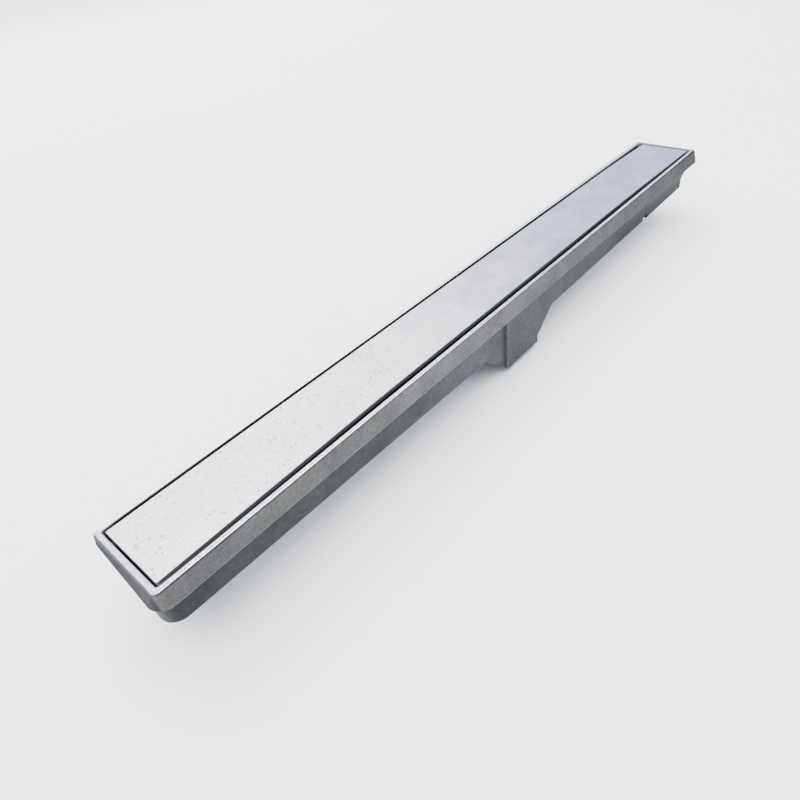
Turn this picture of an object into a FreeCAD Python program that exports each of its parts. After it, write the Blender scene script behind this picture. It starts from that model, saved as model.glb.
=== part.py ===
import FreeCAD, Part
import math
import os
import Sketcher

# Linear shower drain: a cast channel with a sump, a cast cover and a small water trap.
# Millimetres. +X along the drain, +Y across it, +Z up.
# The origin is under the middle of the drain, on the plane that it stands on.
# Every body is drawn from the rim's top plane, so depths in the sheet are below the rim.

SIZES = [
    ("rim_length", 700, "outline of the rim at the top, along the drain"),
    ("rim_width", 70, "outline of the rim at the top, across"),
    ("rim_radius", 3, "rim corners, in plan"),
    ("land_width", 4, "flat top of the rim, outside edge to slot"),
    ("opening_radius", 1.2, "corners of the rim's opening"),
    ("skirt_depth", 14.5, "rim top to the ledge under the skirt"),
    ("skirt_flare", 2.5, "how far the skirt leans out at the ledge, along its sides and far end"),
    ("near_flare_front", 5, "the same at the near end, which is cast askew: its front corner"),
    ("near_flare_back", 1.3, "its back corner"),
    ("back_flare", 6.5, "how far the skirt leans out along the back, at its near corner"),
    ("ledge_radius", 2, "ledge corners, in plan"),
    ("ledge_near_radius", 12, "ledge's near front corner, in plan"),
    ("web_thickness", 3, "floor of the rim, above the ledge"),
    ("trough_inset", 2.8, "rim outline to the outside of the trough's walls"),
    ("near_end_front", 2.3, "how far the trough's near end, askew too, stands out: its front corner"),
    ("near_end_back", -0.6, "its back corner"),
    ("near_wall", 3.5, "wall at the trough's near end, where it is thinnest"),
    ("trough_end_depth", 35.6, "rim top to the trough's underside at its ends"),
    ("trough_mid_depth", 41.4, "rim top to the trough's underside at the sump"),
    ("near_corner", 12, "upright corners of the trough at its near end"),
    ("near_hollow_corner", 8.5, "the same, inside"),
    ("far_corner", 2, "upright corners of the trough at its far end"),
    ("wall", 3.5, "walls of the casting"),
    ("floor", 3.5, "floor of the casting"),
    ("far_wall_inset", 21, "rim outline to the trough's far end wall"),
    ("far_step_depth", 24, "rim top to the top of the far end wall"),
    ("sump_length", 48, "underside of the sump, along the drain"),
    ("ramp_run", 27.6, "length of each sloping side of the sump"),
    ("sump_depth", 65.5, "rim top to the underside of the sump"),
    ("sump_inset", 0.5, "rim outline to the faces of the sump's box"),
    ("edge_round", 1, "lower long edges of the trough"),
    ("rim_edge", 1.2, "rounding of the rim's outer top edge"),
    ("ledge_edge", 0.8, "rounding of the ledge's outer edge"),
    ("spigot_radius", 20, "outside of the outlet spigot"),
    ("spigot_length", 6, "outlet spigot below the sump"),
    ("outlet_radius", 17.2, "bore through the sump's floor and the spigot"),
    ("chip_place", 239, "middle of the chip in the far lower edge, from the drain's middle"),
    ("chip_length", 10, "chip along the edge"),
    ("chip_height", 4.6, "chip up the wall"),
    ("chip_depth", 4.1, "chip into the floor"),
    ("slot_near", 1.7, "water slot between rim and cover, at the near end"),
    ("slot_far", 1.4, "the same at the far end"),
    ("slot_near_front", 3.1, "slot along the front, at the near corner"),
    ("slot_waist", 5.7, "slot along the front, where the cover's edge is hollow"),
    ("slot_far_front", 3.7, "slot along the front, at the far corner"),
    ("slot_near_back", 1.6, "slot along the back, at the near corner"),
    ("slot_back", 3, "slot along the back, where the cover starts to taper"),
    ("slot_far_back", 5.6, "slot along the back, at the far corner"),
    ("waist_near", 190, "rim's near end to the cover's waist"),
    ("waist_far", 150, "rim's far end to the cover's waist"),
    ("taper_inset", 80, "rim's far end to where the cover's back edge starts to taper"),
    ("cover_bend", 2000, "rounding of the bends in the cover's long edges"),
    ("cover_drop", 0.4, "cover below the rim top"),
    ("cover_height", 6, "cover with its ribs"),
    ("cover_skin", 4, "cover without its ribs"),
    ("cover_wall", 3.6, "rib round the cover"),
    ("cover_rib", 3, "cross ribs of the cover"),
    ("cover_cells", 11, "fields between the cover's ribs"),
    ("cover_radius", 1, "cover corners, in plan"),
    ("cover_edge", 0.4, "rounding of the cover's top edge"),
    ("cell_radius", 2.5, "corners of the cover's fields"),
    ("pad_radius", 2.5, "rubber pad"),
    ("pad_thickness", 1.5, "rubber pad"),
    ("pad_inset", 0.3, "pad to the cover's edge at its waist"),
    ("pad_margin", 1, "pad to the lug's tip"),
    ("lug_inset", 40, "end of the rim to the last lug"),
    ("lug_pitch", 110, "lug to lug"),
    ("lug_length", 14, "lug along the wall"),
    ("lug_height", 7, "lug"),
    ("strainer_length", 112, "strainer along the drain"),
    ("strainer_gap", 1, "strainer to each inner wall"),
    ("strainer_thickness", 1.2, "strainer plate"),
    ("strainer_radius", 4, "strainer corners"),
    ("strainer_seat", 0.03, "strainer to the trough's floor at its ends"),
    ("strainer_hole", 2.5, "radius of the strainer's holes"),
    ("strainer_rows", 5, "holes across the strainer"),
    ("strainer_columns", 11, "holes along the strainer"),
    ("strainer_pitch", 9.5, "hole to hole"),
    ("pipe_radius", 14, "bore of the sleeve"),
    ("pipe_outer", 17, "outside of the sleeve"),
    ("pipe_tail", 8.6, "sleeve below the sump's floor"),
    ("flange_radius", 21.5, "sleeve's flange"),
    ("flange_thickness", 2, "sleeve's flange"),
    ("groove_depth", 1.6, "seal's groove in the sleeve"),
    ("groove_width", 2.4, "seal's groove in the sleeve"),
    ("groove_drop", 5, "sump's floor to the middle of the groove"),
    ("bell_inner", 22, "inside of the trap bell"),
    ("bell_wall", 2, "trap bell"),
    ("bell_lift", 6, "sump's floor to the bell's lower edge"),
    ("bell_gap", 1.2, "top of the bell to the strainer"),
    ("bell_headroom", 6, "sleeve's top to the inside of the bell's top"),
    ("bell_round", 3, "rounding of the bell's shoulder"),
    ("fin_count", 4, "fins inside the bell"),
    ("fin_thickness", 1.6, "fins inside the bell"),
    ("fin_play", 0.4, "fins to the sleeve's side"),
    ("fin_hook", 2, "how far the fins reach over the sleeve's top"),
]

# Places worked out from the sizes: x along, z from the rim's top plane.
PLACES = [
    ("rim_z", "Sizes.sump_depth + Sizes.spigot_length"),
    ("ledge_z", "-Sizes.skirt_depth"),
    ("web_z", "Sizes.web_thickness - Sizes.skirt_depth"),
    ("ledge_y", "Sizes.rim_width / 2 + Sizes.skirt_flare"),
    ("ledge_back_y", "Sizes.rim_width / 2 + Sizes.back_flare"),
    ("ledge_far_x", "Sizes.rim_length / 2 + Sizes.skirt_flare"),
    ("ledge_front_x", "-Sizes.rim_length / 2 - Sizes.near_flare_front"),
    ("ledge_back_x", "-Sizes.rim_length / 2 - Sizes.near_flare_back"),
    ("opening_length", "Sizes.rim_length - 2 * Sizes.land_width"),
    ("opening_width", "Sizes.rim_width - 2 * Sizes.land_width"),
    ("inner_flare", "Sizes.skirt_flare * (Sizes.skirt_depth - Sizes.web_thickness) / Sizes.skirt_depth"),
    ("web_length", "opening_length + 2 * inner_flare"),
    ("web_width", "opening_width + 2 * inner_flare"),
    ("web_radius", "Sizes.opening_radius + inner_flare"),
    ("trough_width", "Sizes.rim_width - 2 * Sizes.trough_inset"),
    ("inner_width", "trough_width - 2 * Sizes.wall"),
    ("box_width", "Sizes.rim_width - 2 * Sizes.sump_inset"),
    ("box_inner_width", "box_width - 2 * Sizes.wall"),
    ("end_x", "Sizes.rim_length / 2 - Sizes.trough_inset"),
    ("near_front_x", "-Sizes.rim_length / 2 - Sizes.near_end_front"),
    ("near_back_x", "-Sizes.rim_length / 2 - Sizes.near_end_back"),
    ("far_wall_x", "Sizes.rim_length / 2 - Sizes.far_wall_inset"),
    ("ramp_foot_x", "Sizes.sump_length / 2"),
    ("ramp_top_x", "ramp_foot_x + Sizes.ramp_run"),
    ("end_floor_z", "-Sizes.trough_end_depth"),
    ("mid_floor_z", "-Sizes.trough_mid_depth"),
    ("sump_z", "-Sizes.sump_depth"),
    ("fall", "(end_floor_z - mid_floor_z) / -(near_front_x + ramp_top_x)"),
    ("far_floor_z", "mid_floor_z + fall * (far_wall_x - ramp_top_x)"),
    ("far_step_z", "-Sizes.far_step_depth"),
    ("chip_floor_z", "mid_floor_z + fall * (Sizes.chip_place - ramp_top_x)"),
    ("chip_side_y", "-trough_width / 2"),
    ("ramp_turn", "tan(atan((Sizes.sump_depth - Sizes.trough_mid_depth) / Sizes.ramp_run) / 2)"),
    ("inner_near_x", "near_back_x + Sizes.near_wall"),
    ("inner_end_x", "end_x - Sizes.wall"),
    ("inner_far_x", "far_wall_x - Sizes.wall"),
    ("inner_box_x", "ramp_foot_x - Sizes.wall"),
    ("inner_foot_x", "ramp_foot_x - Sizes.floor * ramp_turn"),
    ("inner_top_x", "ramp_top_x - Sizes.floor * ramp_turn"),
    ("inner_end_z", "end_floor_z + Sizes.floor"),
    ("inner_mid_z", "mid_floor_z + Sizes.floor"),
    ("inner_far_z", "far_floor_z + Sizes.floor"),
    ("inner_step_z", "far_step_z + Sizes.web_thickness"),
    ("inner_sump_z", "sump_z + Sizes.floor"),
    ("cover_near_x", "Sizes.slot_near - opening_length / 2"),
    ("cover_far_x", "opening_length / 2 - Sizes.slot_far"),
    ("cover_waist_y", "opening_width / 2 - Sizes.slot_waist"),
    ("waist_near_x", "Sizes.waist_near - Sizes.rim_length / 2"),
    ("waist_far_x", "Sizes.rim_length / 2 - Sizes.waist_far"),
    ("taper_x", "Sizes.rim_length / 2 - Sizes.taper_inset"),
    ("cover_length", "cover_far_x - cover_near_x"),
    ("cover_z", "-Sizes.cover_drop"),
    ("cover_foot_z", "cover_z - Sizes.cover_height"),
    ("cell_pitch", "(cover_length - 2 * Sizes.cover_wall + Sizes.cover_rib) / Sizes.cover_cells"),
    ("cell_length", "cell_pitch - Sizes.cover_rib"),
    ("cell_width", "2 * (cover_waist_y - Sizes.cover_wall)"),
    ("cell_first_x", "cover_near_x + Sizes.cover_wall + cell_length / 2"),
    ("cell_depth", "Sizes.cover_height - Sizes.cover_skin"),
    ("lug_z", "cover_foot_z - Sizes.pad_thickness"),
    ("pad_y", "cover_waist_y - Sizes.pad_inset - Sizes.pad_radius"),
    ("lug_tip_y", "pad_y - Sizes.pad_radius - Sizes.pad_margin"),
    ("last_lug_x", "Sizes.rim_length / 2 - Sizes.lug_inset"),
    ("strainer_width", "inner_width - 2 * Sizes.strainer_gap"),
    ("strainer_z", "inner_mid_z + fall * (Sizes.strainer_length / 2 - inner_top_x) + Sizes.strainer_seat"),
    ("hole_first_x", "-Sizes.strainer_pitch * (Sizes.strainer_columns - 1) / 2"),
    ("hole_first_y", "-Sizes.strainer_pitch * (Sizes.strainer_rows - 1) / 2"),
    ("groove_radius", "Sizes.pipe_outer - Sizes.groove_depth"),
    ("seal_section", "(Sizes.outlet_radius - groove_radius) / 2"),
    ("seal_radius", "(Sizes.outlet_radius + groove_radius) / 2"),
    ("bell_outer", "Sizes.bell_inner + Sizes.bell_wall"),
    ("bell_top", "strainer_z - inner_sump_z - Sizes.bell_gap"),
    ("bell_roof", "bell_top - Sizes.bell_wall"),
    ("pipe_height", "bell_roof - Sizes.bell_headroom"),
    ("fin_inner", "Sizes.pipe_outer - Sizes.fin_hook"),
    ("fin_side", "Sizes.pipe_outer + Sizes.fin_play"),
    ("fin_foot", "Sizes.bell_lift + Sizes.fin_hook"),
    ("fin_reach", "Sizes.bell_inner + Sizes.bell_wall / 2"),
    ("fin_head", "bell_roof + Sizes.bell_wall / 2"),
]

# Lugs and pads stand in four rows: (end of the drain, flank of the trough).
LUG_ROWS = [(end, flank) for end in (-1, 1) for flank in (-1, 1)]
LUGS_PER_ROW = 3

# Two lengths closer than this are the same length.
SMALL = 0.01

doc = FreeCAD.newDocument("LinearShowerDrain")


def fill_sheet(name, rows):
    """A sheet with one named cell a row: its name, its content and, for a size, its meaning."""
    sheet = doc.addObject("Spreadsheet::Sheet", name)
    for line, (alias, content, *meaning) in enumerate(rows, start=1):
        sheet.set(f"A{line}", alias)
        sheet.set(f"B{line}", content)
        sheet.setAlias(f"B{line}", alias)
        if meaning:
            sheet.set(f"C{line}", meaning[0])
    sheet.recompute()
    return sheet


SHEETS = {
    "Sizes": fill_sheet("Sizes", [(alias, str(value), meaning) for alias, value, meaning in SIZES]),
    "Places": fill_sheet("Places", [(alias, "=" + formula) for alias, formula in PLACES]),
}


def number(cell):
    """The value of a cell such as Sizes.wall."""
    sheet, alias = cell.split(".")
    return float(SHEETS[sheet].get(alias))


def new_body(name):
    """A body whose own zero height is the rim's top plane."""
    body = doc.addObject("PartDesign::Body", name)
    body.Label = name
    body.setExpression("Placement.Base.z", "Places.rim_z")
    return body


def new_sketch(body, name, plane, offset="0"):
    """A sketch on one of the body's own planes, moved along its normal by the offset."""
    sketch = body.newObject("Sketcher::SketchObject", name)
    support = [f for f in body.Origin.OriginFeatures if f.Role == plane][0]
    sketch.AttachmentSupport = (support, "")
    sketch.MapMode = "FlatFace"
    sketch.setExpression("AttachmentOffset.Base.z", offset)
    return sketch


def dimension(sketch, kind, where, formula):
    """One driving dimension, bound to a formula."""
    index = sketch.addConstraint(Sketcher.Constraint(kind, *where, sketch.evalExpression(formula)))
    sketch.setExpression(f"Constraints[{index}]", formula)


def place(sketch, corners):
    """Bind corners to their pairs of formulas: each is (geometry, its point, across, up)."""
    for index, point, across, up in corners:
        dimension(sketch, "DistanceX", (-1, 1, index, point), across)
        dimension(sketch, "DistanceY", (-1, 1, index, point), up)


def worked_out(sketch, corners):
    """Pairs of formulas as points."""
    return [FreeCAD.Vector(*[sketch.evalExpression(formula) for formula in pair]) for pair in corners]


def outline(sketch, corners):
    """A closed outline of straight lines through corners given as pairs of formulas."""
    first = sketch.GeometryCount
    spots = worked_out(sketch, corners)
    count = len(spots)
    for i in range(count):
        sketch.addGeometry(Part.LineSegment(spots[i], spots[(i + 1) % count]))
    for i in range(count):
        following = first + (i + 1) % count
        sketch.addConstraint(Sketcher.Constraint("Coincident", first + i, 2, following, 1))
    place(sketch, [(first + i, 1, *pair) for i, pair in enumerate(corners)])


def rounded_outline(sketch, corners, radii):
    """A closed outline with round corners. Its sharp corners are pairs of formulas, counter-clockwise."""
    sharp = worked_out(sketch, corners)
    count = len(sharp)
    starts, ends, arcs, tips = [], [], [], []
    for i, corner in enumerate(sharp):
        r = sketch.evalExpression(radii[i])
        back = (sharp[i - 1] - corner).normalize()
        ahead = (sharp[(i + 1) % count] - corner).normalize()
        half = back.getAngle(ahead) / 2
        centre = corner + (back + ahead).normalize() * (r / math.sin(half))
        starts.append(corner + back * (r / math.tan(half)))
        ends.append(corner + ahead * (r / math.tan(half)))
        hollow = ahead.cross(back).z < 0
        tips.append((2, 1) if hollow else (1, 2))
        spoke = (ends[i] if hollow else starts[i]) - centre
        begin = math.atan2(spoke.y, spoke.x)
        disc = Part.Circle(centre, FreeCAD.Vector(0, 0, 1), r)
        arcs.append(Part.ArcOfCircle(disc, begin, begin + math.pi - 2 * half))
    # Corner i has its arc, the line after it and, for its dimensions, its sharp point.
    for i in range(count):
        sketch.addGeometry(arcs[i])
        sketch.addGeometry(Part.LineSegment(ends[i], starts[(i + 1) % count]))
        sketch.addGeometry(Part.Point(sharp[i]), True)
    for i in range(count):
        arc, line, point = 3 * i, 3 * i + 1, 3 * i + 2
        line_before = 3 * ((i - 1) % count) + 1
        sketch.addConstraint(Sketcher.Constraint("Tangent", line_before, 2, arc, tips[i][0]))
        sketch.addConstraint(Sketcher.Constraint("Tangent", arc, tips[i][1], line, 1))
        sketch.addConstraint(Sketcher.Constraint("PointOnObject", point, 1, line_before))
        sketch.addConstraint(Sketcher.Constraint("PointOnObject", point, 1, line))
        dimension(sketch, "Radius", (arc,), radii[i])
    place(sketch, [(3 * i + 2, 1, *pair) for i, pair in enumerate(corners)])


def rounded_rectangle(sketch, length, width, radius, middle_x="0"):
    """A rectangle with round corners, centred on the sketch's X axis at middle_x."""
    left, right = f"{middle_x} - {length} / 2", f"{middle_x} + {length} / 2"
    low, high = f"-{width} / 2", f"{width} / 2"
    rounded_outline(sketch, [(left, low), (right, low), (right, high), (left, high)], [radius] * 4)


def circle(sketch, radius, middle_x="0", middle_y="0"):
    """A circle about a point of the sketch."""
    sketch.addGeometry(Part.Circle(FreeCAD.Vector(0, 0, 0), FreeCAD.Vector(0, 0, 1), number(radius)))
    dimension(sketch, "Radius", (0,), radius)
    dimension(sketch, "DistanceX", (-1, 1, 0, 3), middle_x)
    dimension(sketch, "DistanceY", (-1, 1, 0, 3), middle_y)


def extrude(body, kind, name, sketch, length, side="One side", reverse=False):
    """A pad or a pocket of a sketch."""
    feature = body.newObject(f"PartDesign::{kind}", name)
    feature.Profile = sketch
    feature.SideType = side
    feature.Reversed = reverse
    feature.setExpression("Length", length)
    return feature


def loft(body, kind, name, sections):
    """A ruled loft through two sketches."""
    feature = body.newObject(f"PartDesign::{kind}", name)
    feature.Profile = sections[0]
    feature.Sections = sections[1:]
    feature.Ruled = True
    return feature


def round_edges(body, name, test, radius):
    """Fillet every edge of the body so far that the test picks."""
    doc.recompute()
    base = body.Tip
    picked = [f"Edge{i}" for i, edge in enumerate(base.Shape.Edges, start=1) if test(edge)]
    fillet = body.newObject("PartDesign::Fillet", name)
    fillet.Base = (base, picked)
    fillet.setExpression("Radius", radius)
    doc.recompute()
    return fillet


def near(value, target):
    """Whether two lengths are the same."""
    return abs(value - target) < SMALL


def upright(edge):
    """Whether an edge stands straight up."""
    return edge.BoundBox.XLength < SMALL and edge.BoundBox.YLength < SMALL


def channel_casting():
    """The casting: skirt, trough with its fall, sump, spigot, lugs and hollows."""
    body = new_body("channel_body")

    side = new_sketch(body, "TroughSide", "XZ_Plane")
    outline(side, [
        ("Places.near_front_x", "Places.web_z"),
        ("Places.near_front_x", "Places.end_floor_z"),
        ("-Places.ramp_top_x", "Places.mid_floor_z"),
        ("-Places.ramp_foot_x", "Places.sump_z"),
        ("Places.ramp_foot_x", "Places.sump_z"),
        ("Places.ramp_top_x", "Places.mid_floor_z"),
        ("Places.far_wall_x", "Places.far_floor_z"),
        ("Places.far_wall_x", "Places.far_step_z"),
        ("Places.end_x", "Places.ledge_z"),
        ("Places.end_x", "Places.web_z"),
    ])
    extrude(body, "Pad", "Trough", side, "Places.trough_width", "Symmetric")
    half_width = number("Places.trough_width") / 2

    askew = new_sketch(body, "NearEndTrim", "XY_Plane", "Places.web_z")
    outline(askew, [
        ("Places.near_front_x", "-Places.trough_width / 2"),
        ("Places.near_back_x", "Places.trough_width / 2"),
        ("Places.near_front_x", "Places.trough_width / 2"),
    ])
    extrude(body, "Pocket", "NearEnd", askew, "Places.web_z - Places.end_floor_z + Sizes.floor")

    def near_upright(edge):
        return upright(edge) and edge.BoundBox.XMax < 0
    round_edges(body, "NearCorners", near_upright, "Sizes.near_corner")

    def far_upright(edge):
        return upright(edge) and near(edge.BoundBox.XMin, number("Places.far_wall_x"))
    round_edges(body, "FarCorners", far_upright, "Sizes.far_corner")

    def lower_edge(edge):
        box = edge.BoundBox
        low = box.ZMax < number("Places.end_floor_z") + SMALL
        return low and box.XLength > SMALL and near(abs(box.YMin), half_width) and box.YLength < SMALL
    round_edges(body, "TroughLowerEdges", lower_edge, "Sizes.edge_round")

    box = new_sketch(body, "SumpBoxSide", "XZ_Plane")
    outline(box, [
        ("-Places.ramp_foot_x", "Places.web_z"),
        ("-Places.ramp_foot_x", "Places.sump_z"),
        ("Places.ramp_foot_x", "Places.sump_z"),
        ("Places.ramp_foot_x", "Places.web_z"),
    ])
    extrude(body, "Pad", "SumpBox", box, "Places.box_width", "Symmetric")

    rim = new_sketch(body, "RimOutline", "XY_Plane")
    rounded_rectangle(rim, "Sizes.rim_length", "Sizes.rim_width", "Sizes.rim_radius")
    ledge = new_sketch(body, "LedgeOutline", "XY_Plane", "Places.ledge_z")
    rounded_outline(ledge, [
        ("Places.ledge_front_x", "-Places.ledge_y"),
        ("Places.ledge_far_x", "-Places.ledge_y"),
        ("Places.ledge_far_x", "Places.ledge_y"),
        ("Places.ledge_back_x", "Places.ledge_back_y"),
    ], ["Sizes.ledge_near_radius"] + ["Sizes.ledge_radius"] * 3)
    loft(body, "AdditiveLoft", "Skirt", [rim, ledge])

    def ledge_edge(edge):
        box = edge.BoundBox
        level = near(box.ZMin, number("Places.ledge_z")) and box.ZLength < SMALL
        return level and max(abs(box.YMin), abs(box.YMax)) > half_width + number("Sizes.trough_inset")
    round_edges(body, "LedgeEdge", ledge_edge, "Sizes.ledge_edge")

    def rim_edge(edge):
        return edge.BoundBox.ZMin > -SMALL
    round_edges(body, "RimEdge", rim_edge, "Sizes.rim_edge")

    opening = new_sketch(body, "RimOpening", "XY_Plane")
    rounded_rectangle(opening, "Places.opening_length", "Places.opening_width", "Sizes.opening_radius")
    web = new_sketch(body, "WebOutline", "XY_Plane", "Places.web_z")
    rounded_rectangle(web, "Places.web_length", "Places.web_width", "Places.web_radius")
    loft(body, "SubtractiveLoft", "RimHollow", [opening, web])

    hollow = new_sketch(body, "HollowSide", "XZ_Plane")
    outline(hollow, [
        ("Places.inner_near_x", "Places.web_z"),
        ("Places.inner_near_x", "Places.inner_end_z"),
        ("-Places.inner_top_x", "Places.inner_mid_z"),
        ("-Places.inner_foot_x", "Places.inner_sump_z"),
        ("Places.inner_foot_x", "Places.inner_sump_z"),
        ("Places.inner_top_x", "Places.inner_mid_z"),
        ("Places.inner_far_x", "Places.inner_far_z"),
        ("Places.inner_far_x", "Places.inner_step_z"),
        ("Places.inner_end_x", "Places.web_z"),
    ])
    extrude(body, "Pocket", "TroughHollow", hollow, "Places.inner_width", "Symmetric")

    def hollow_upright(edge):
        return upright(edge) and near(edge.BoundBox.XMin, number("Places.inner_near_x"))
    round_edges(body, "NearHollowCorners", hollow_upright, "Sizes.near_hollow_corner")

    box_hollow = new_sketch(body, "BoxHollowSide", "XZ_Plane")
    outline(box_hollow, [
        ("-Places.inner_box_x", "Places.web_z"),
        ("-Places.inner_box_x", "Places.inner_sump_z"),
        ("Places.inner_box_x", "Places.inner_sump_z"),
        ("Places.inner_box_x", "Places.web_z"),
    ])
    extrude(body, "Pocket", "BoxHollow", box_hollow, "Places.box_inner_width", "Symmetric")

    lugs = new_sketch(body, "LugOutlines", "XY_Plane", "Places.lug_z")
    for end, flank in LUG_ROWS:
        for step in range(LUGS_PER_ROW):
            middle = f"{end} * (Places.last_lug_x - {step} * Sizes.lug_pitch)"
            tip = f"{flank} * Places.lug_tip_y"
            root = f"{flank} * (Places.inner_width + Sizes.wall) / 2"
            outline(lugs, [
                (f"{middle} - Sizes.lug_length / 2", tip),
                (f"{middle} + Sizes.lug_length / 2", tip),
                (f"{middle} + Sizes.lug_length / 2", root),
                (f"{middle} - Sizes.lug_length / 2", root),
            ])
    extrude(body, "Pad", "Lugs", lugs, "Sizes.lug_height", reverse=True)

    spigot = new_sketch(body, "SpigotOutline", "XY_Plane", "Places.sump_z")
    circle(spigot, "Sizes.spigot_radius")
    extrude(body, "Pad", "Spigot", spigot, "Sizes.spigot_length", reverse=True)
    bore = new_sketch(body, "OutletOutline", "XY_Plane", "Places.inner_sump_z")
    circle(bore, "Sizes.outlet_radius")
    extrude(body, "Pocket", "Outlet", bore, "Sizes.floor + Sizes.spigot_length")

    chip = new_sketch(body, "ChipProfile", "YZ_Plane", "Sizes.chip_place")
    outline(chip, [
        ("Places.chip_side_y - Sizes.wall", "Places.chip_floor_z - Sizes.floor"),
        ("Places.chip_side_y - Sizes.wall", "Places.chip_floor_z + Sizes.chip_height"),
        ("Places.chip_side_y", "Places.chip_floor_z + Sizes.chip_height"),
        ("Places.chip_side_y + Sizes.chip_depth", "Places.chip_floor_z"),
        ("Places.chip_side_y + Sizes.chip_depth", "Places.chip_floor_z - Sizes.floor"),
    ])
    extrude(body, "Pocket", "Chip", chip, "Sizes.chip_length", "Symmetric")
    doc.recompute()
    return body


def cover_casting():
    """The cover: a flat plate with a rib round it and cross ribs underneath."""
    body = new_body("cover_plate")
    plate = new_sketch(body, "PlateOutline", "XY_Plane", "Places.cover_z")
    half_opening = "Places.opening_width / 2"
    rounded_outline(plate, [
        ("Places.cover_near_x", f"Sizes.slot_near_front - {half_opening}"),
        ("Places.waist_near_x", "-Places.cover_waist_y"),
        ("Places.waist_far_x", "-Places.cover_waist_y"),
        ("Places.cover_far_x", f"Sizes.slot_far_front - {half_opening}"),
        ("Places.cover_far_x", f"{half_opening} - Sizes.slot_far_back"),
        ("Places.taper_x", f"{half_opening} - Sizes.slot_back"),
        ("Places.cover_near_x", f"{half_opening} - Sizes.slot_near_back"),
    ], [
        "Sizes.cover_radius",
        "Sizes.cover_bend",
        "Sizes.cover_bend",
        "Sizes.cover_radius",
        "Sizes.cover_radius",
        "Sizes.cover_bend",
        "Sizes.cover_radius",
    ])
    extrude(body, "Pad", "Plate", plate, "Sizes.cover_height", reverse=True)
    cell = new_sketch(body, "FieldOutline", "XY_Plane", "Places.cover_foot_z")
    cell_size = ("Places.cell_length", "Places.cell_width", "Sizes.cell_radius")
    rounded_rectangle(cell, *cell_size, middle_x="Places.cell_first_x")
    field = extrude(body, "Pocket", "Field", cell, "Places.cell_depth", reverse=True)
    doc.recompute()
    fields = body.newObject("PartDesign::LinearPattern", "Fields")
    fields.Originals = [field]
    fields.Direction = (cell, ["H_Axis"])
    fields.Mode = "Spacing"
    fields.setExpression("Offset", "Places.cell_pitch")
    fields.setExpression("Occurrences", "Sizes.cover_cells")
    body.Tip = fields

    def top_edge(edge):
        return edge.BoundBox.ZMin > number("Places.cover_z") - SMALL
    round_edges(body, "PlateEdge", top_edge, "Sizes.cover_edge")
    return body


def turned(body, name, corners):
    """A solid of revolution: the corners are pairs of radius and height."""
    profile = new_sketch(body, name + "Profile", "XZ_Plane")
    outline(profile, corners)
    turn = body.newObject("PartDesign::Revolution", name)
    turn.Profile = profile
    turn.ReferenceAxis = (profile, ["V_Axis"])
    turn.Angle = 360
    doc.recompute()
    return turn


def sump_body(name):
    """A body whose own zero height is the top of the sump's floor."""
    body = new_body(name)
    body.setExpression("Placement.Base.z", "Places.rim_z + Places.inner_sump_z")
    return body


def outlet_sleeve():
    """The standpipe: a tube with a flange on the sump's floor and a groove for the seal."""
    body = sump_body("outlet_sleeve")
    groove_low = "-Sizes.groove_drop - Sizes.groove_width / 2"
    groove_high = "-Sizes.groove_drop + Sizes.groove_width / 2"
    turned(body, "Sleeve", [
        ("Sizes.pipe_radius", "-Sizes.pipe_tail"),
        ("Sizes.pipe_outer", "-Sizes.pipe_tail"),
        ("Sizes.pipe_outer", groove_low),
        ("Places.groove_radius", groove_low),
        ("Places.groove_radius", groove_high),
        ("Sizes.pipe_outer", groove_high),
        ("Sizes.pipe_outer", "0"),
        ("Sizes.flange_radius", "0"),
        ("Sizes.flange_radius", "Sizes.flange_thickness"),
        ("Sizes.pipe_outer", "Sizes.flange_thickness"),
        ("Sizes.pipe_outer", "Places.pipe_height"),
        ("Sizes.pipe_radius", "Places.pipe_height"),
    ])
    return body


def sleeve_seal():
    """The rubber ring that fills the groove up to the bore."""
    seal = doc.addObject("Part::Torus", "sleeve_seal")
    seal.Label = "sleeve_seal"
    seal.setExpression("Radius1", "Places.seal_radius")
    seal.setExpression("Radius2", "Places.seal_section")
    seal.setExpression("Placement.Base.z", "Places.rim_z + Places.inner_sump_z - Sizes.groove_drop")
    return seal


def trap_bell():
    """The cup over the sleeve. Its fins hook over the sleeve's top and centre it."""
    body = sump_body("trap_bell")
    turned(body, "Cup", [
        ("Sizes.bell_inner", "Sizes.bell_lift"),
        ("Places.bell_outer", "Sizes.bell_lift"),
        ("Places.bell_outer", "Places.bell_top"),
        ("0", "Places.bell_top"),
        ("0", "Places.bell_roof"),
        ("Sizes.bell_inner", "Places.bell_roof"),
    ])

    def shoulder(edge):
        box = edge.BoundBox
        high = box.ZMin > number("Places.bell_top") - SMALL
        return high and near(box.XMax, number("Places.bell_outer"))
    round_edges(body, "Shoulder", shoulder, "Sizes.bell_round")
    profile = new_sketch(body, "FinProfile", "XZ_Plane")
    outline(profile, [
        ("Places.fin_side", "Places.fin_foot"),
        ("Places.fin_reach", "Places.fin_foot"),
        ("Places.fin_reach", "Places.fin_head"),
        ("Places.fin_inner", "Places.fin_head"),
        ("Places.fin_inner", "Places.pipe_height"),
        ("Places.fin_side", "Places.pipe_height"),
    ])
    fin = extrude(body, "Pad", "Fin", profile, "Sizes.fin_thickness", "Symmetric")
    doc.recompute()
    fins = body.newObject("PartDesign::PolarPattern", "Fins")
    fins.Originals = [fin]
    fins.Axis = (profile, ["V_Axis"])
    fins.Mode = "Extent"
    fins.Angle = 360
    fins.setExpression("Occurrences", "Sizes.fin_count")
    body.Tip = fins
    return body


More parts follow.
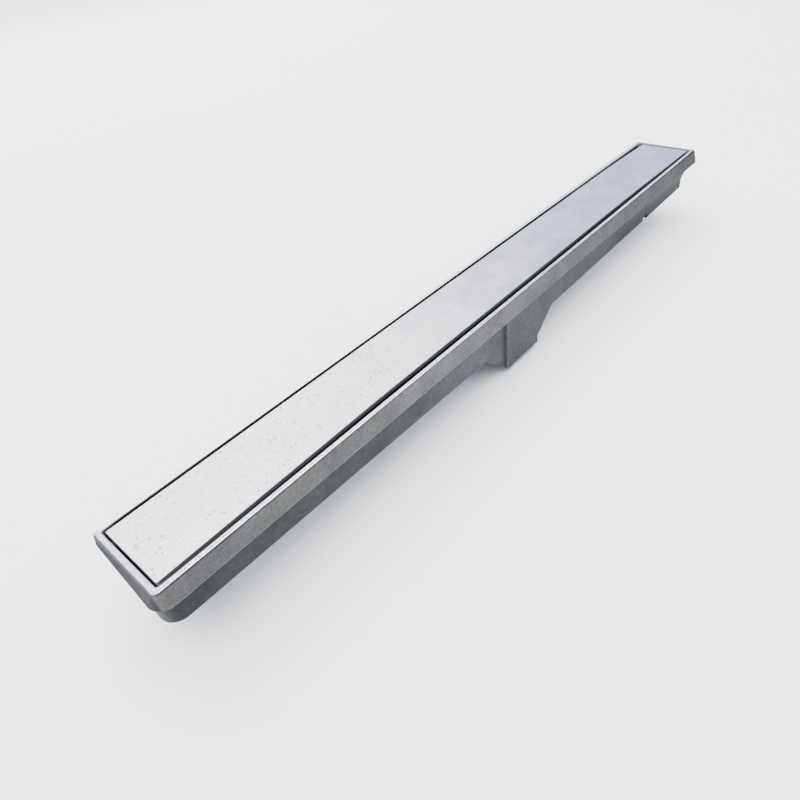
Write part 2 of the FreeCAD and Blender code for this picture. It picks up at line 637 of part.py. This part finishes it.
def hair_strainer():
    """The perforated plate that lies over the mouth of the sump."""
    body = new_body("hair_strainer")
    plate = new_sketch(body, "StrainerOutline", "XY_Plane", "Places.strainer_z")
    rounded_rectangle(plate, "Sizes.strainer_length", "Places.strainer_width", "Sizes.strainer_radius")
    extrude(body, "Pad", "Strainer", plate, "Sizes.strainer_thickness")
    spot = new_sketch(body, "HoleOutline", "XY_Plane", "Places.strainer_z")
    circle(spot, "Sizes.strainer_hole", "Places.hole_first_x", "Places.hole_first_y")
    hole = extrude(body, "Pocket", "Hole", spot, "Sizes.strainer_thickness", reverse=True)
    doc.recompute()
    holes = body.newObject("PartDesign::LinearPattern", "Holes")
    holes.Originals = [hole]
    holes.Direction = (spot, ["H_Axis"])
    holes.Mode = "Spacing"
    holes.setExpression("Offset", "Sizes.strainer_pitch")
    holes.setExpression("Occurrences", "Sizes.strainer_columns")
    holes.Direction2 = (spot, ["V_Axis"])
    holes.Mode2 = "Spacing"
    holes.setExpression("Offset2", "Sizes.strainer_pitch")
    holes.setExpression("Occurrences2", "Sizes.strainer_rows")
    body.Tip = holes
    return body


def cover_pads():
    """A rubber pad on each lug, under the cover's rib."""
    pads = []
    for end, flank in LUG_ROWS:
        for step in range(LUGS_PER_ROW):
            pad = doc.addObject("Part::Cylinder", f"cover_pad_{len(pads) + 1}")
            pad.Label = pad.Name
            pad.setExpression("Radius", "Sizes.pad_radius")
            pad.setExpression("Height", "Sizes.pad_thickness")
            pad.setExpression("Placement.Base.x", f"{end} * (Places.last_lug_x - {step} * Sizes.lug_pitch)")
            pad.setExpression("Placement.Base.y", f"{flank} * Places.pad_y")
            pad.setExpression("Placement.Base.z", "Places.rim_z + Places.lug_z")
            pads.append(pad)
    return pads


def main():
    parts = [channel_casting(), cover_casting(), *cover_pads()]
    parts += [hair_strainer(), trap_bell(), outlet_sleeve(), sleeve_seal()]
    doc.recompute()
    os.makedirs("parts", exist_ok=True)
    failed = [o.Name for o in doc.Objects if {"Invalid", "Error"} & set(o.State)]
    if failed:
        raise RuntimeError(f"these objects failed: {failed}")
    for part in parts:
        if part.Shape.isNull() or not part.Shape.isValid():
            raise RuntimeError(f"{part.Label} has no valid shape")
    for part in parts:
        box = part.Shape.BoundBox
        print(part.Label, len(part.Shape.Solids), "solid", round(part.Shape.Volume), "mm3",
              "z", round(box.ZMin, 2), "to", round(box.ZMax, 2))
        part.Shape.exportStep(f"parts/{part.Label}.step")


main()
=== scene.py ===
"""Linear shower drain: finishes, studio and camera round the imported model.

Metres. +X along the drain to its stepped far end, +Y across it, +Z up.
The origin is the middle of the outlet spigot's end, on the floor.
"""

import bpy
from mathutils import Matrix

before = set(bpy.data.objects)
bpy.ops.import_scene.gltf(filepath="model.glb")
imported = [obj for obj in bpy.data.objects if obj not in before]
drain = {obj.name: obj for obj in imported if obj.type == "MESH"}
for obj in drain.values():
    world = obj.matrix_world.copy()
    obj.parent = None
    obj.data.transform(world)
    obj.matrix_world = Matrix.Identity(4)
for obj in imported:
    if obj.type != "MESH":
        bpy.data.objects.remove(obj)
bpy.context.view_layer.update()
bpy.ops.object.select_all(action="DESELECT")

# Heights on the casting: where the trough starts, just under the ledge, and how far the change to the walls'
# darker, painted-shade tone fades there.
UNDER_LEDGE = 0.0566
LEDGE_FADE = 0.0004
FAR_WALL_FOOT = 0.0400

# The ledge's edge, where a highlight is painted: its height, and how far out it is at the sides and the ends.
LEDGE = (0.0567, 0.0577)
LEDGE_SIDE = (0.0362, 0.0368)
LEDGE_END = (0.3505, 0.3510)

# The rim: the foot of its inner walls, its upper edge, its ground top, and the fade over its inner edge.
RIM_FOOT = (0.0598, 0.0604)
RIM_EDGE = (0.0700, 0.0706)
RIM_TOP = (0.07125, 0.07140)
RIM_UNDERCUT = (0.0709, 0.0712)
OPENING_END = (0.3463, 0.3466)

# Places along the drain: its near end's wall and skirt, its far end's wall and skirt, and the
# small step in the trough's side where the sump's proud box starts.
NEAR_WALL = (-0.347, -0.337)
NEAR_SKIRT = (-0.3508, -0.3498)
FAR_WALL = (0.3284, 0.3289)
FAR_SKIRT = (0.3488, 0.3499)
SUMP_CREASE = (-0.0245, -0.0237)

# The cover's upper edge, where its flank ends, and the flank's shaded height.
COVER_EDGE = (0.0704, 0.0708)
COVER_FLANK = (0.0672, 0.0690)

# The lights and the floor, in metres, watts and watts per square metre.
FLOOR_SIZE = 30.0
KEY_PLACE = (0.62, 2.15, 2.0)
KEY_SIZE = 2.6
KEY_POWER = 104.0
SKY_HEIGHT = 2.6
SKY_STRENGTH = 8.5
SKY_SPREAD = 1.5
SURROUND_STRENGTH = 1.34

# The camera: its focal length and principal point in pixels of an 800 by 800 image.
IMAGE = 800
FOCAL = 612.2
CENTRE_X = 423.8
CENTRE_Y = 399.7
SENSOR = 36.0
CAMERA_PLACE = (-0.37171, -0.27868, 0.34460)
CAMERA_TURN = (
    (0.642669, 0.552624, -0.530644),
    (-0.758869, 0.363942, -0.540059),
    (-0.105326, 0.749769, 0.653263),
)


class Finish:
    """A material that is built up node by node. Sockets are linked where a socket is given, else set."""

    def __init__(self, name, metallic, roughness):
        self.material = bpy.data.materials.new(name)
        self.material.use_nodes = True
        self.tree = self.material.node_tree
        self.tree.nodes.clear()
        self.output = self.tree.nodes.new("ShaderNodeOutputMaterial")
        self.shader = self.tree.nodes.new("ShaderNodeBsdfPrincipled")
        self.tree.links.new(self.shader.outputs["BSDF"], self.output.inputs["Surface"])
        self.shader.inputs["Metallic"].default_value = metallic
        self.shader.inputs["Roughness"].default_value = roughness
        place = self.tree.nodes.new("ShaderNodeTexCoord")
        self.place = place.outputs["Object"]
        split = self.tree.nodes.new("ShaderNodeSeparateXYZ")
        self.tree.links.new(self.place, split.inputs[0])
        self.x, self.y, self.z = split.outputs

    def put(self, socket, value):
        """Link a socket to another, or set its value."""
        if isinstance(value, bpy.types.NodeSocket):
            self.tree.links.new(value, socket)
        else:
            socket.default_value = value

    def maths(self, operation, first, second=0.0):
        """One operation of a Math node."""
        node = self.tree.nodes.new("ShaderNodeMath")
        node.operation = operation
        for socket, value in zip(node.inputs, (first, second)):
            self.put(socket, value)
        return node.outputs[0]

    def times(self, total, *others):
        """Several values multiplied."""
        for value in others:
            total = self.maths("MULTIPLY", total, value)
        return total

    def either(self, first, second):
        """The larger of two masks."""
        return self.maths("MAXIMUM", first, second)

    def minus(self, first, second):
        """One value less another."""
        return self.maths("SUBTRACT", first, second)

    def ramp(self, value, low, high, start=0.0, end=1.0):
        """A smooth step of a value from start at low to end at high."""
        node = self.tree.nodes.new("ShaderNodeMapRange")
        node.interpolation_type = "SMOOTHSTEP"
        for socket, content in zip(node.inputs, (value, low, high, start, end)):
            self.put(socket, content)
        return node.outputs[0]

    def stretched(self, scale, shift=(0.0, 0.0, 0.0)):
        """Object coordinates, scaled and moved."""
        node = self.tree.nodes.new("ShaderNodeMapping")
        self.put(node.inputs["Vector"], self.place)
        node.inputs["Scale"].default_value = scale
        node.inputs["Location"].default_value = shift
        return node.outputs[0]

    def noise(self, scale, detail=2.0, roughness=0.5, where=None):
        """Cloudy noise, from 0 to 1, with its lumps about one over scale metres across."""
        node = self.tree.nodes.new("ShaderNodeTexNoise")
        self.put(node.inputs["Vector"], where or self.place)
        node.inputs["Scale"].default_value = scale
        node.inputs["Detail"].default_value = detail
        node.inputs["Roughness"].default_value = roughness
        return node.outputs["Fac"]

    def specks(self, scale, radius, where=None, feather=0.1):
        """Round dots of a radius, as a share of their spacing: 1 inside a dot and 0 outside."""
        node = self.tree.nodes.new("ShaderNodeTexVoronoi")
        self.put(node.inputs["Vector"], where or self.place)
        node.inputs["Scale"].default_value = scale
        return self.ramp(node.outputs["Distance"], radius, radius + feather, 1.0, 0.0)

    def blend(self, share, under, over, how="MIX"):
        """One colour over another by a share."""
        node = self.tree.nodes.new("ShaderNodeMix")
        node.data_type = "RGBA"
        node.blend_type = how
        colours = [s for s in node.inputs if s.type == "RGBA"]
        self.put(node.inputs["Factor"], share)
        self.put(colours[0], (*under, 1.0) if isinstance(under, tuple) else under)
        self.put(colours[1], (*over, 1.0) if isinstance(over, tuple) else over)
        return [s for s in node.outputs if s.type == "RGBA"][0]

    def band(self, value, low, high, soft):
        """1 between two heights and 0 outside them, with soft edges."""
        rise = self.ramp(value, low - soft, low + soft)
        fall = self.ramp(value, high - soft, high + soft, 1.0, 0.0)
        return self.times(rise, fall)

    def mixed(self, share, under, over):
        """One value over another by a share."""
        node = self.tree.nodes.new("ShaderNodeMix")
        self.put(node.inputs["Factor"], share)
        self.put(node.inputs["A"], under)
        self.put(node.inputs["B"], over)
        return node.outputs[0]

    def along(self, stops):
        """A value that changes smoothly along the drain: its stops are pairs of x and value."""
        total = stops[0][1]
        for (place, value), (next_place, next_value) in zip(stops, stops[1:]):
            if next_value != value:
                step = self.ramp(self.x, place, next_place, 0.0, next_value - value)
                total = self.maths("ADD", total, step)
        return total

    def tinted(self, value, colour):
        """A grey value with a tint."""
        node = self.tree.nodes.new("ShaderNodeCombineColor")
        for socket, share in zip(node.inputs, colour):
            self.put(socket, self.times(value, share))
        return node.outputs[0]

    def bump(self, height, depth, under=None):
        """A bump of a height map, as deep as depth in metres."""
        node = self.tree.nodes.new("ShaderNodeBump")
        node.inputs["Strength"].default_value = 1.0
        node.inputs["Distance"].default_value = depth
        self.put(node.inputs["Height"], height)
        if under is not None:
            self.put(node.inputs["Normal"], under)
        return node.outputs[0]

    def upward(self):
        """How far the surface faces up: 1 on a floor, 0 on a wall, -1 on an underside."""
        node = self.tree.nodes.new("ShaderNodeNewGeometry")
        split = self.tree.nodes.new("ShaderNodeSeparateXYZ")
        self.tree.links.new(node.outputs["Normal"], split.inputs[0])
        return split.outputs["Z"]

    def done(self, colour, roughness=None, normal=None, metallic=None):
        """Link what has been built to the shader, and give the material."""
        self.put(self.shader.inputs["Base Color"], colour)
        if metallic is not None:
            self.put(self.shader.inputs["Metallic"], metallic)
        if roughness is not None:
            self.put(self.shader.inputs["Roughness"], roughness)
        if normal is not None:
            self.put(self.shader.inputs["Normal"], normal)
        return self.material


def casting_tone(skin, below, near_skirt):
    """How light the casting's bare metal is: it changes along the drain and from face to face, as painted light
    and shade.
    """
    apron = skin.along([
        (-0.35, 0.088), (-0.20, 0.104), (-0.09, 0.132), (0.0, 0.106), (0.15, 0.080), (0.25, 0.056), (0.34, 0.030),
    ])
    # The trough's walls under the ledge: painted darker than the apron as shade.
    wall = skin.along([
        (-0.345, 0.034), (-0.30, 0.043), (-0.18, 0.052), (-0.06, 0.074), (0.0, 0.062), (0.12, 0.048),
        (0.20, 0.028), (0.32, 0.014),
    ])
    far_wall = skin.ramp(skin.z, FAR_WALL_FOOT, UNDER_LEDGE, 0.010, 0.052)
    wall = skin.mixed(skin.ramp(skin.x, 0.12, 0.26), wall, far_wall)
    tone = skin.mixed(below, apron, wall)

    # The near end: the trough's wall is painted darker round its front corner as shade, and the skirt is darker
    # towards its back.
    near_wall = skin.times(below, skin.ramp(skin.x, *NEAR_WALL, 1.0, 0.0))
    tone = skin.mixed(near_wall, tone, skin.ramp(skin.y, -0.033, -0.024, 0.024, 0.048))
    tone = skin.mixed(near_skirt, tone, skin.ramp(skin.y, -0.036, 0.030, 0.062, 0.018))

    # The back and the far end keep an even tone.
    plain = skin.either(skin.ramp(skin.y, 0.0, 0.010), skin.ramp(skin.x, *FAR_SKIRT))
    plain = skin.either(plain, skin.times(below, skin.ramp(skin.x, *FAR_WALL)))
    plain = skin.times(plain, skin.ramp(skin.x, 0.0, 0.15))
    tone = skin.mixed(plain, tone, skin.ramp(below, 0.0, 1.0, 0.085, 0.055))

    # The far half is more rugged, and the sump's crease is painted lighter as a highlight.
    rugged = skin.times(tone, skin.ramp(skin.noise(430.0, 4.0, 0.7), 0.36, 0.64, 0.76, 1.24))
    tone = skin.mixed(skin.ramp(skin.x, 0.05, 0.22), tone, rugged)
    crease_highlight = skin.times(skin.band(skin.x, *SUMP_CREASE, 0.0001), below)
    return skin.times(tone, skin.ramp(crease_highlight, 0.0, 1.0, 1.0, 2.2))


def cast_aluminium():
    """Sand-cast skin: dark grey, mottled and grainy, with the rim's flat top ground bright."""
    skin = Finish("cast_aluminium", 1.0, 0.5)
    front = skin.times(skin.y, -1.0)
    side = skin.maths("ABSOLUTE", skin.y)
    ends = skin.maths("ABSOLUTE", skin.x)
    sand = skin.noise(900.0, 3.0, 0.65)
    below = skin.ramp(skin.z, UNDER_LEDGE - LEDGE_FADE, UNDER_LEDGE + LEDGE_FADE, 1.0, 0.0)
    near_skirt = skin.times(skin.minus(1.0, below), skin.ramp(skin.x, *NEAR_SKIRT, 1.0, 0.0))

    # Clouds, mottle and sand grain over the tone, and faint tints over that.
    tone = skin.times(
        casting_tone(skin, below, near_skirt),
        skin.ramp(skin.noise(30.0, 4.0, 0.6), 0.30, 0.70, 0.84, 1.16),
        skin.ramp(skin.noise(330.0, 3.0, 0.6), 0.30, 0.70, 0.88, 1.12),
        skin.ramp(sand, 0.30, 0.70, 0.86, 1.14),
    )
    patches = skin.noise(85.0, 3.0, 0.55, skin.stretched((0.6, 1.0, 1.0)))
    tints = skin.noise(48.0, 2.0, 0.5, skin.stretched((0.7, 1.0, 1.0), (3.1, 1.7, 0.4)))
    grey = skin.blend(below, skin.tinted(tone, (1.0, 0.99, 0.96)), skin.tinted(tone, (0.97, 1.0, 1.02)))
    for share, tint in (
        (skin.ramp(skin.x, 0.05, 0.24, 0.0, 0.9), (0.97, 1.03, 0.92)),
        (skin.ramp(patches, 0.52, 0.72, 0.0, 0.5), (1.12, 1.02, 0.92)),
        (skin.ramp(tints, 0.54, 0.70, 0.0, 0.6), (1.00, 0.96, 1.12)),
        (skin.ramp(tints, 0.32, 0.46, 0.6, 0.0), (0.94, 1.06, 0.96)),
    ):
        grey = skin.blend(share, grey, skin.tinted(tone, tint))

    # A painted highlight along the ledge's edge, lightest along the near half.
    ledge_highlight = skin.times(
        skin.band(skin.z, *LEDGE, 0.0003),
        skin.ramp(skin.noise(60.0, 3.0), 0.3, 0.6, 0.45, 1.0),
        skin.along([(-0.33, 0.75), (-0.22, 1.0), (-0.05, 0.9), (0.08, 0.2)]),
    )
    outside = skin.either(skin.ramp(side, *LEDGE_SIDE), skin.ramp(ends, *LEDGE_END))
    grey = skin.blend(skin.times(ledge_highlight, outside), grey, (0.35, 0.35, 0.36))

    # Painted shade: the walls of the slot and the lugs in it are dull and painted dark, up to the inner edge of
    # the rim's top, and lighter towards both ends.
    lip = skin.along([(-0.35, 0.0318), (-0.05, 0.0311), (0.30, 0.0312)])
    reach = skin.minus(ends, skin.ramp(skin.z, *RIM_UNDERCUT, 0.0022, 0.0))
    within = skin.times(
        skin.ramp(skin.minus(side, lip), 0.0, 0.0003, 1.0, 0.0),
        skin.ramp(reach, *OPENING_END, 1.0, 0.0),
        skin.either(skin.ramp(skin.z, *RIM_FOOT), skin.ramp(skin.upward(), 0.3, 0.6)),
    )
    shade = skin.along([(-0.3458, 0.26), (-0.3445, 0.10), (-0.335, 0.020), (0.10, 0.020), (0.33, 0.30)])
    grey = skin.blend(within, grey, skin.tinted(shade, (1.0, 0.98, 0.94)))

    # Painted shade: a thin dark line where the rounded front edge starts, a little frayed.
    fray = skin.ramp(skin.noise(160.0, 3.0, 0.6), 0.3, 0.7, -0.00012, 0.00012)
    brow = skin.along([(-0.35, 0.0346), (-0.15, 0.0340), (0.05, 0.0334), (0.25, 0.0335), (0.345, 0.0329)])
    past = skin.maths("ADD", skin.minus(front, brow), fray)
    rim_edge_shade = skin.times(skin.band(past, 0.0001, 0.0008, 0.0002), skin.ramp(skin.z, *RIM_EDGE))
    grey = skin.blend(skin.times(rim_edge_shade, 0.85), grey, (0.030, 0.030, 0.033))

    # The ground top: bright, with a dotted dark line painted along the front as a groove's shade, dull at the
    # near end and dark at the far end.
    scratch = skin.noise(420.0, 3.0, 0.6)
    grains = skin.noise(1100.0, 2.0, 0.6)
    ground = skin.blend(skin.ramp(scratch, 0.3, 0.7), (0.62, 0.61, 0.64), (0.78, 0.77, 0.80))
    middle = skin.times(skin.maths("ADD", lip, brow), 0.5)
    groove_shade = skin.times(
        skin.band(skin.minus(front, middle), -0.0005, 0.0005, 0.0002),
        skin.ramp(grains, 0.42, 0.52),
        skin.ramp(skin.x, 0.02, 0.18, 1.0, 0.0),
    )
    ground = skin.blend(groove_shade, ground, (0.06, 0.06, 0.065))
    dull = skin.blend(skin.ramp(grains, 0.38, 0.62), (0.22, 0.215, 0.27), (0.52, 0.515, 0.59))
    ground = skin.blend(skin.ramp(skin.x, -0.3466, -0.3460, 1.0, 0.0), ground, dull)
    ground = skin.blend(skin.ramp(skin.x, 0.3460, 0.3466), ground, (0.14, 0.13, 0.12))
    land = skin.times(
        skin.ramp(skin.z, *RIM_TOP), skin.ramp(past, 0.0, 0.0003, 1.0, 0.0), skin.minus(1.0, within),
    )

    rough = skin.ramp(land, 0.0, 1.0, 0.56, 0.40)
    rough = skin.maths("ADD", rough, skin.times(sand, 0.10))
    rough = skin.maths("ADD", rough, skin.times(near_skirt, 0.25))
    relief = skin.bump(skin.noise(240.0, 3.0, 0.6), 0.00024, skin.bump(sand, 0.00018))
    bare = skin.ramp(within, 0.0, 1.0, 1.0, 0.0)
    return skin.done(skin.blend(land, grey, ground), rough, relief, bare)


def satin_cover():
    """The cover: pale satin aluminium with faint blotches, bright grains and small casting pits."""
    satin = Finish("satin_cover", 1.0, 0.42)
    blotch = satin.noise(34.0, 4.0, 0.55)
    fine = satin.noise(700.0, 2.0, 0.6)

    # Painted reflection: the plate turns a little blue and darker towards the far end.
    pale = satin.blend(satin.ramp(blotch, 0.35, 0.65), (0.450, 0.446, 0.498), (0.550, 0.542, 0.560))
    pale = satin.blend(satin.ramp(satin.x, -0.10, 0.15, 0.0, 0.6), pale, (0.485, 0.492, 0.640))
    pale = satin.blend(satin.ramp(satin.x, 0.15, 0.34, 0.0, 0.7), pale, (0.430, 0.458, 0.610))
    pale = satin.blend(satin.ramp(fine, 0.35, 0.65, 0.0, 0.35), pale, (0.38, 0.38, 0.41))

    # Bright grains and dark pits, in groups, mostly at the near end.
    cast = satin.ramp(satin.x, -0.20, 0.05, 1.0, 0.15)
    grains = satin.times(satin.specks(300.0, 0.20), satin.ramp(satin.noise(38.0, 2.0), 0.40, 0.55), cast)
    pits = satin.times(
        satin.specks(230.0, 0.15, satin.stretched((1.0, 1.0, 1.0), (0.37, 0.11, 0.0))),
        satin.ramp(satin.noise(52.0, 2.0), 0.44, 0.56),
        cast,
    )
    pale = satin.blend(grains, pale, (0.80, 0.80, 0.83))
    pale = satin.blend(satin.times(pits, 0.8), pale, (0.20, 0.20, 0.21))

    # Painted shade: the flank, which is seen in the slot, is dull and darker down in it, lighter at the near end
    # and darker at the far end.
    flank = satin.ramp(satin.z, *COVER_EDGE, 1.0, 0.0)
    shade = satin.times(
        satin.ramp(satin.z, *COVER_FLANK, 0.006, 0.105),
        satin.along([(-0.344, 2.6), (-0.342, 1.0), (0.05, 1.0), (0.30, 0.45)]),
    )
    pale = satin.blend(flank, pale, satin.tinted(shade, (1.0, 0.99, 1.0)))

    rough = satin.ramp(blotch, 0.3, 0.7, 0.38, 0.46)
    relief = satin.bump(satin.minus(grains, pits), 0.00014, satin.bump(fine, 0.00008))
    return satin.done(pale, rough, relief, satin.ramp(flank, 0.0, 1.0, 1.0, 0.0))


def brushed_steel():
    """The strainer: brushed lengthwise."""
    steel = Finish("brushed_steel", 1.0, 0.3)
    lines = steel.noise(2200.0, 2.0, 0.6, steel.stretched((0.02, 1.0, 1.0)))
    stain = steel.noise(60.0, 3.0, 0.6)
    colour = steel.blend(steel.ramp(lines, 0.3, 0.7), (0.50, 0.50, 0.51), (0.68, 0.68, 0.69))
    colour = steel.blend(steel.ramp(stain, 0.55, 0.75, 0.0, 0.3), colour, (0.42, 0.40, 0.37))
    return steel.done(colour, steel.ramp(lines, 0.3, 0.7, 0.25, 0.40), steel.bump(lines, 0.00003))


def moulded_plastic():
    """Bell and sleeve: dark moulded plastic with a fine spark-eroded grain."""
    plastic = Finish("moulded_plastic", 0.0, 0.45)
    grain = plastic.noise(1500.0, 2.0, 0.6)
    haze = plastic.noise(45.0, 3.0, 0.6)
    colour = plastic.blend(plastic.ramp(haze, 0.35, 0.7), (0.030, 0.031, 0.034), (0.060, 0.060, 0.064))
    return plastic.done(colour, plastic.ramp(grain, 0.3, 0.7, 0.38, 0.55), plastic.bump(grain, 0.00005))


def black_rubber():
    """Pads and seal: dull rubber with bloom and a pebbled skin."""
    rubber = Finish("black_rubber", 0.0, 0.75)
    pebble = rubber.noise(2600.0, 2.0, 0.5)
    bloom = rubber.noise(220.0, 3.0, 0.6)
    colour = rubber.blend(rubber.ramp(bloom, 0.4, 0.75), (0.020, 0.020, 0.021), (0.055, 0.054, 0.052))
    return rubber.done(colour, rubber.ramp(pebble, 0.3, 0.7, 0.66, 0.85), rubber.bump(pebble, 0.00004))


def dress(names, material):
    """Give CAD nodes a finish."""
    for name in names:
        drain[name].data.materials.clear()
        drain[name].data.materials.append(material)


def key_light():
    """A large soft square light behind the drain, which looks at its middle."""
    bpy.ops.object.light_add(type="AREA", location=KEY_PLACE)
    lamp = bpy.context.object
    lamp.name = "key_light"
    lamp.data.shape = "SQUARE"
    lamp.data.size = KEY_SIZE
    lamp.data.energy = KEY_POWER
    lamp.data.color = (1.0, 0.98, 0.95)
    lamp.rotation_euler = lamp.location.to_track_quat("Z", "Y").to_euler()


def overhead_light():
    """A wide soft light from straight above, the same all over the floor."""
    bpy.ops.object.light_add(type="SUN", location=(0.0, 0.0, SKY_HEIGHT))
    lamp = bpy.context.object
    lamp.name = "overhead_light"
    lamp.data.energy = SKY_STRENGTH
    lamp.data.angle = SKY_SPREAD


def pale_floor():
    """A plain floor of off-white paper."""
    bpy.ops.mesh.primitive_plane_add(size=FLOOR_SIZE, location=(0.0, 0.0, 0.0))
    floor = bpy.context.object
    floor.name = "floor"
    paper = Finish("pale_floor", 0.0, 0.9)
    white = paper.blend(paper.noise(3.0, 2.0), (0.90, 0.90, 0.90), (0.93, 0.93, 0.93))
    floor.data.materials.append(paper.done(white))


def surround():
    """An even pale blue surround."""
    world = bpy.data.worlds.new("studio")
    world.use_nodes = True
    background = world.node_tree.nodes["Background"]
    background.inputs["Color"].default_value = (0.71, 0.82, 1.0, 1.0)
    background.inputs["Strength"].default_value = SURROUND_STRENGTH
    bpy.context.scene.world = world


def photo_camera():
    """The photograph's view."""
    data = bpy.data.cameras.new("photo_camera")
    data.sensor_width = SENSOR
    data.lens = FOCAL / IMAGE * SENSOR
    data.shift_x = 0.5 - CENTRE_X / IMAGE
    data.shift_y = CENTRE_Y / IMAGE - 0.5
    data.clip_start = 0.01
    camera = bpy.data.objects.new("photo_camera", data)
    bpy.context.scene.collection.objects.link(camera)
    camera.matrix_world = Matrix.Translation(CAMERA_PLACE) @ Matrix(CAMERA_TURN).to_4x4()
    bpy.context.scene.camera = camera


pale_floor()
surround()
key_light()
overhead_light()
photo_camera()
dress(["channel_body"], cast_aluminium())
dress(["cover_plate"], satin_cover())
dress(["hair_strainer"], brushed_steel())
dress(["trap_bell", "outlet_sleeve"], moulded_plastic())
dress(["sleeve_seal"] + [f"cover_pad_{i}" for i in range(1, 13)], black_rubber())

bpy.context.view_layer.update()
